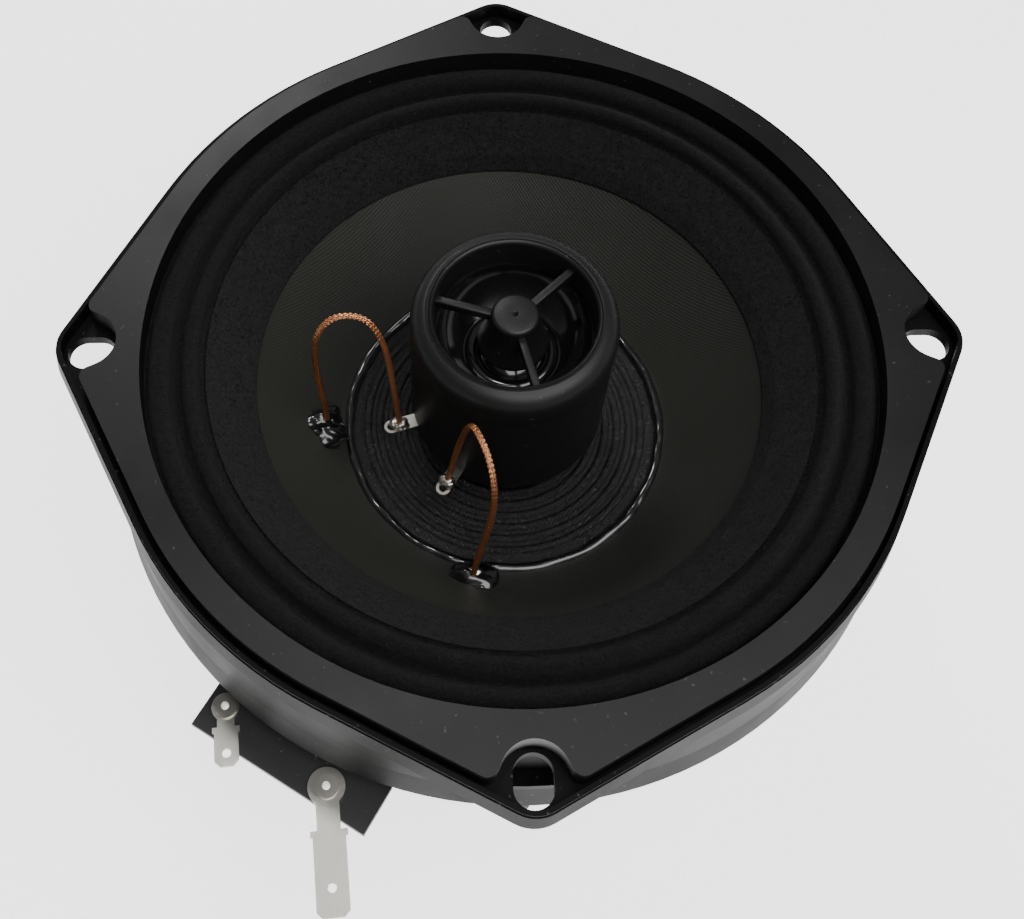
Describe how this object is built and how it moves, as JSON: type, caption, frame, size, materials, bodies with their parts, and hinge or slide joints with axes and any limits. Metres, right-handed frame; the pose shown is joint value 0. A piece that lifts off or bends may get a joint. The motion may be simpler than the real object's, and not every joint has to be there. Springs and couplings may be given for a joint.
{
  "type": "coaxial car speaker",
  "caption": "Round coaxial car loudspeaker with a moulded basket and slotted mounting ears, a woven cone on a ribbed cloth edge, and a tweeter barrel on a central post",
  "frame": {"origin": "centre of the mounting slots, on the flange's flat back face", "axes": "+Z out of the front along the speaker's axis; +X and +Y each through the middle of one mounting ear; the terminals are on the side between -X and -Y"},
  "size_m": [0.1842, 0.1929, 0.1083],
  "materials": {
    "basket": "moulded satin plastic",
    "front_gasket": "satin",
    "cone_inner": "tight satin weave, coated",
    "cone_outer": "mottled felt",
    "surround": "fibrous doped cloth",
    "dust_seal": "doped cloth",
    "seal_bead": "glossy glue",
    "cone_eyelets": "tinned",
    "glue_dab_left": "glossy glue",
    "glue_dab_front": "glossy glue",
    "voice_coil_former": "foil",
    "voice_coil_winding": "enamelled copper",
    "spider": "resin-dipped cotton",
    "top_plate": "black plating",
    "magnet": "ferrite",
    "yoke": "black plating",
    "frame_rivets": "plated",
    "post": "moulded",
    "post_screw": "plated",
    "post_nut": "plated",
    "tweeter_housing": "fine grain",
    "tweeter_face": "fine grain",
    "tweeter_waveguide": "polished",
    "tweeter_frame": "moulded",
    "tweeter_cup": "plated",
    "tweeter_pole": "plated",
    "tweeter_magnet": "plated",
    "tweeter_dome": "glossy film",
    "tweeter_surround": "glossy film",
    "tweeter_former": "foil",
    "tweeter_winding": "enamelled copper",
    "tweeter_capacitor": "sleeved can",
    "lug_left": "tinned",
    "lug_front": "tinned",
    "lug_solder_left": "solder",
    "lug_solder_front": "solder",
    "lead_left": "braided copper",
    "lead_front": "braided copper",
    "terminal_board": "pressed board",
    "terminal_large": "tinned",
    "terminal_small": "tinned",
    "terminal_rivets": "tinned"
  },
  "bodies": {
    "chassis": {"basket": "basket", "front_gasket": "front_gasket", "top_plate": "top_plate", "magnet": "magnet", "yoke": "yoke", "frame_rivets": "frame_rivets", "post": "post", "post_screw": "post_screw", "post_nut": "post_nut", "tweeter_housing": "tweeter_housing", "tweeter_face": "tweeter_face", "tweeter_waveguide": "tweeter_waveguide", "tweeter_frame": "tweeter_frame", "tweeter_cup": "tweeter_cup", "tweeter_pole": "tweeter_pole", "tweeter_magnet": "tweeter_magnet", "tweeter_capacitor": "tweeter_capacitor", "lug_left": "lug_left", "lug_front": "lug_front", "lug_solder_left": "lug_solder_left", "lug_solder_front": "lug_solder_front", "lead_left": "lead_left", "lead_front": "lead_front", "terminal_board": "terminal_board", "terminal_large": "terminal_large", "terminal_small": "terminal_small", "terminal_rivets": "terminal_rivets"},
    "cone_assembly": {"cone_inner": "cone_inner", "cone_outer": "cone_outer", "surround": "surround", "dust_seal": "dust_seal", "seal_bead": "seal_bead", "cone_eyelets": "cone_eyelets", "glue_dab_left": "glue_dab_left", "glue_dab_front": "glue_dab_front", "voice_coil_former": "voice_coil_former", "voice_coil_winding": "voice_coil_winding", "spider": "spider"},
    "tweeter_diaphragm": {"tweeter_dome": "tweeter_dome", "tweeter_surround": "tweeter_surround", "tweeter_former": "tweeter_former", "tweeter_winding": "tweeter_winding"}
  },
  "joints": [
    {"name": "cone_travel", "type": "slide", "parent": "chassis", "child": "cone_assembly", "axis": [0, 0, 1], "range_m": [-0.003, 0.003], "stiffness_N_per_m": 2000, "deforming": ["surround", "spider", "lead_left", "lead_front"]},
    {"name": "tweeter_travel", "type": "slide", "parent": "chassis", "child": "tweeter_diaphragm", "axis": [0, 0, 1], "range_m": [-0.00025, 0.00025], "stiffness_N_per_m": 1000, "deforming": ["tweeter_surround"]}
  ]
}
